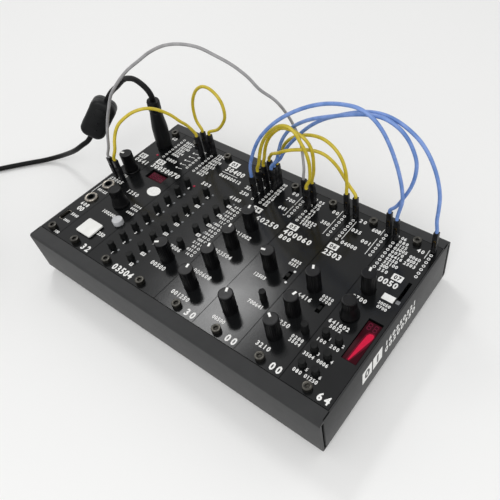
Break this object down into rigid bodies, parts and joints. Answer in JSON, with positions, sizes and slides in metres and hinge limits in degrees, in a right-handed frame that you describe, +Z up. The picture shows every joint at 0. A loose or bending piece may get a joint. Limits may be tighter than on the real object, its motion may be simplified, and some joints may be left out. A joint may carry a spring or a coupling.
{
  "type": "modular synthesizer",
  "caption": "Desktop modular synthesizer: a row of small circuit board modules in a low folded case, with knobs, buttons, coloured patch leads and a power lead.",
  "frame": {"origin": "under the middle of the case, on the plane of the feet's soles", "axes": "+X along the row of modules to the user's right, +Y from front to back, +Z up"},
  "size_m": [0.3266, 0.1934, 0.116],
  "materials": {
    "black_paint": "satin",
    "rubber": "matte",
    "screw_steel": "satin",
    "black_board": "gloss",
    "satin_black_plastic": "satin",
    "soft_black_plastic": "matte",
    "white_plastic": "satin",
    "grey_plastic": "satin",
    "yellow_sleeve": "satin",
    "blue_sleeve": "satin",
    "grey_sleeve": "satin"
  },
  "bodies": {
    "case": {"case_tray": "black_paint", "side_plate_left": "black_paint", "side_plate_right": "black_paint", "foot_front_left": "rubber", "foot_front_right": "rubber", "foot_rear_left": "rubber", "foot_rear_right": "rubber", "front_screw_rail": "screw_steel", "rear_screw_rail": "screw_steel", "supply_module": "black_board", "control_module": "black_board", "sequencer_module": "black_board", "mixer_module": "black_board", "drum_module": "black_board", "bass_drum_module": "black_board", "sampler_module": "black_board", "grey_lead": "grey_sleeve", "yellow_lead_1": "yellow_sleeve", "yellow_lead_2": "yellow_sleeve", "yellow_lead_3": "yellow_sleeve", "yellow_lead_4": "yellow_sleeve", "yellow_lead_5": "yellow_sleeve", "yellow_lead_6": "yellow_sleeve", "blue_lead_1": "blue_sleeve", "blue_lead_2": "blue_sleeve", "blue_lead_3": "blue_sleeve", "dc_plug": "satin_black_plastic", "dc_lead": "rubber", "ferrite_choke": "satin_black_plastic", "dc_lead_coil": "rubber", "mains_adaptor": "satin_black_plastic"},
    "supply_knob": {"supply_knob": "satin_black_plastic"},
    "sequencer_knob": {"sequencer_knob": "satin_black_plastic"},
    "mixer_knob_1": {"mixer_knob_1": "satin_black_plastic"},
    "mixer_knob_2": {"mixer_knob_2": "satin_black_plastic"},
    "mixer_knob_3": {"mixer_knob_3": "satin_black_plastic"},
    "mixer_knob_4": {"mixer_knob_4": "satin_black_plastic"},
    "drum_knob_1": {"drum_knob_1": "satin_black_plastic"},
    "drum_knob_2": {"drum_knob_2": "satin_black_plastic"},
    "bass_drum_knob_1": {"bass_drum_knob_1": "satin_black_plastic"},
    "bass_drum_knob_2": {"bass_drum_knob_2": "satin_black_plastic"},
    "bass_drum_knob_3": {"bass_drum_knob_3": "satin_black_plastic"},
    "sampler_knob": {"sampler_knob": "satin_black_plastic"},
    "control_encoder_knob": {"control_encoder_knob": "satin_black_plastic"},
    "sampler_encoder_knob": {"sampler_encoder_knob": "satin_black_plastic"},
    "touch_pad": {"touch_pad": "white_plastic"},
    "round_button": {"round_button": "grey_plastic"},
    "step_buttons_a": {"step_buttons_a": "soft_black_plastic"},
    "step_buttons_b": {"step_buttons_b": "soft_black_plastic"},
    "function_buttons": {"function_buttons": "soft_black_plastic"},
    "drum_button": {"drum_button": "soft_black_plastic"},
    "bass_drum_button": {"bass_drum_button": "soft_black_plastic"},
    "sampler_button_1": {"sampler_button_1": "soft_black_plastic"},
    "sampler_button_2": {"sampler_button_2": "soft_black_plastic"},
    "sampler_button_3": {"sampler_button_3": "soft_black_plastic"},
    "sampler_button_4": {"sampler_button_4": "soft_black_plastic"},
    "sampler_button_5": {"sampler_button_5": "soft_black_plastic"},
    "sampler_button_6": {"sampler_button_6": "soft_black_plastic"},
    "drum_switch": {"drum_switch": "white_plastic"},
    "bass_drum_switch": {"bass_drum_switch": "white_plastic"}
  },
  "joints": [
    {"name": "supply_knob_turn", "type": "hinge", "parent": "case", "child": "supply_knob", "pos_m": [-0.08625, 0.0093, 0.0352], "axis": [0, 0, 1], "range_deg": [-256, 44]},
    {"name": "sequencer_knob_turn", "type": "hinge", "parent": "case", "child": "sequencer_knob", "pos_m": [-0.01865, -0.0278, 0.0352], "axis": [0, 0, 1], "range_deg": [-274, 26]},
    {"name": "mixer_knob_1_turn", "type": "hinge", "parent": "case", "child": "mixer_knob_1", "pos_m": [0.00365, -0.0337, 0.0352], "axis": [0, 0, 1], "range_deg": [-162, 138]},
    {"name": "mixer_knob_2_turn", "type": "hinge", "parent": "case", "child": "mixer_knob_2", "pos_m": [0.00365, -0.0186, 0.0352], "axis": [0, 0, 1], "range_deg": [-169, 131]},
    {"name": "mixer_knob_3_turn", "type": "hinge", "parent": "case", "child": "mixer_knob_3", "pos_m": [0.00365, -0.0035, 0.0352], "axis": [0, 0, 1], "range_deg": [-161, 139]},
    {"name": "mixer_knob_4_turn", "type": "hinge", "parent": "case", "child": "mixer_knob_4", "pos_m": [0.00365, 0.0116, 0.0352], "axis": [0, 0, 1], "range_deg": [-167, 133]},
    {"name": "drum_knob_1_turn", "type": "hinge", "parent": "case", "child": "drum_knob_1", "pos_m": [0.02885, -0.034, 0.0352], "axis": [0, 0, 1], "range_deg": [-175, 125]},
    {"name": "drum_knob_2_turn", "type": "hinge", "parent": "case", "child": "drum_knob_2", "pos_m": [0.02885, -0.0043, 0.0352], "axis": [0, 0, 1], "range_deg": [-255, 45]},
    {"name": "bass_drum_knob_1_turn", "type": "hinge", "parent": "case", "child": "bass_drum_knob_1", "pos_m": [0.05405, -0.0334, 0.0352], "axis": [0, 0, 1], "range_deg": [-205, 95]},
    {"name": "bass_drum_knob_2_turn", "type": "hinge", "parent": "case", "child": "bass_drum_knob_2", "pos_m": [0.05405, -0.0193, 0.0352], "axis": [0, 0, 1], "range_deg": [-134, 166]},
    {"name": "bass_drum_knob_3_turn", "type": "hinge", "parent": "case", "child": "bass_drum_knob_3", "pos_m": [0.05405, -0.0027, 0.0352], "axis": [0, 0, 1], "range_deg": [-178, 122]},
    {"name": "sampler_knob_turn", "type": "hinge", "parent": "case", "child": "sampler_knob", "pos_m": [0.07595, 0.0098, 0.0352], "axis": [0, 0, 1], "range_deg": [-161, 139]},
    {"name": "control_encoder_knob_turn", "type": "hinge", "parent": "case", "child": "control_encoder_knob", "pos_m": [-0.06925, -0.0141, 0.0352], "axis": [0, 0, 1], "continuous": true},
    {"name": "sampler_encoder_knob_turn", "type": "hinge", "parent": "case", "child": "sampler_encoder_knob", "pos_m": [0.07625, -0.0067, 0.0352], "axis": [0, 0, 1], "continuous": true},
    {"name": "touch_pad_press", "type": "slide", "parent": "case", "child": "touch_pad", "axis": [0, 0, -1], "range_m": [0, 0.0004], "stiffness_N_per_m": 1500, "springref_m": -0.0004},
    {"name": "round_button_press", "type": "slide", "parent": "case", "child": "round_button", "axis": [0, 0, -1], "range_m": [0, 0.0004], "stiffness_N_per_m": 1500, "springref_m": -0.0004},
    {"name": "step_buttons_a_press", "type": "slide", "parent": "case", "child": "step_buttons_a", "axis": [0, 0, -1], "range_m": [0, 0.0004], "stiffness_N_per_m": 1500, "springref_m": -0.0004},
    {"name": "step_buttons_b_press", "type": "slide", "parent": "case", "child": "step_buttons_b", "axis": [0, 0, -1], "range_m": [0, 0.0004], "stiffness_N_per_m": 1500, "springref_m": -0.0004},
    {"name": "function_buttons_press", "type": "slide", "parent": "case", "child": "function_buttons", "axis": [0, 0, -1], "range_m": [0, 0.0004], "stiffness_N_per_m": 1500, "springref_m": -0.0004},
    {"name": "drum_button_press", "type": "slide", "parent": "case", "child": "drum_button", "axis": [0, 0, -1], "range_m": [0, 0.0004], "stiffness_N_per_m": 1500, "springref_m": -0.0004},
    {"name": "bass_drum_button_press", "type": "slide", "parent": "case", "child": "bass_drum_button", "axis": [0, 0, -1], "range_m": [0, 0.0004], "stiffness_N_per_m": 1500, "springref_m": -0.0004},
    {"name": "sampler_button_1_press", "type": "slide", "parent": "case", "child": "sampler_button_1", "axis": [0, 0, -1], "range_m": [0, 0.0004], "stiffness_N_per_m": 1500, "springref_m": -0.0004},
    {"name": "sampler_button_2_press", "type": "slide", "parent": "case", "child": "sampler_button_2", "axis": [0, 0, -1], "range_m": [0, 0.0004], "stiffness_N_per_m": 1500, "springref_m": -0.0004},
    {"name": "sampler_button_3_press", "type": "slide", "parent": "case", "child": "sampler_button_3", "axis": [0, 0, -1], "range_m": [0, 0.0004], "stiffness_N_per_m": 1500, "springref_m": -0.0004},
    {"name": "sampler_button_4_press", "type": "slide", "parent": "case", "child": "sampler_button_4", "axis": [0, 0, -1], "range_m": [0, 0.0004], "stiffness_N_per_m": 1500, "springref_m": -0.0004},
    {"name": "sampler_button_5_press", "type": "slide", "parent": "case", "child": "sampler_button_5", "axis": [0, 0, -1], "range_m": [0, 0.0004], "stiffness_N_per_m": 1500, "springref_m": -0.0004},
    {"name": "sampler_button_6_press", "type": "slide", "parent": "case", "child": "sampler_button_6", "axis": [0, 0, -1], "range_m": [0, 0.0004], "stiffness_N_per_m": 1500, "springref_m": -0.0004},
    {"name": "drum_switch_slide", "type": "slide", "parent": "case", "child": "drum_switch", "axis": [0, 1, 0], "range_m": [-0.0012, 0.0012]},
    {"name": "bass_drum_switch_slide", "type": "slide", "parent": "case", "child": "bass_drum_switch", "axis": [0, 1, 0], "range_m": [-0.0012, 0.0012]}
  ]
}
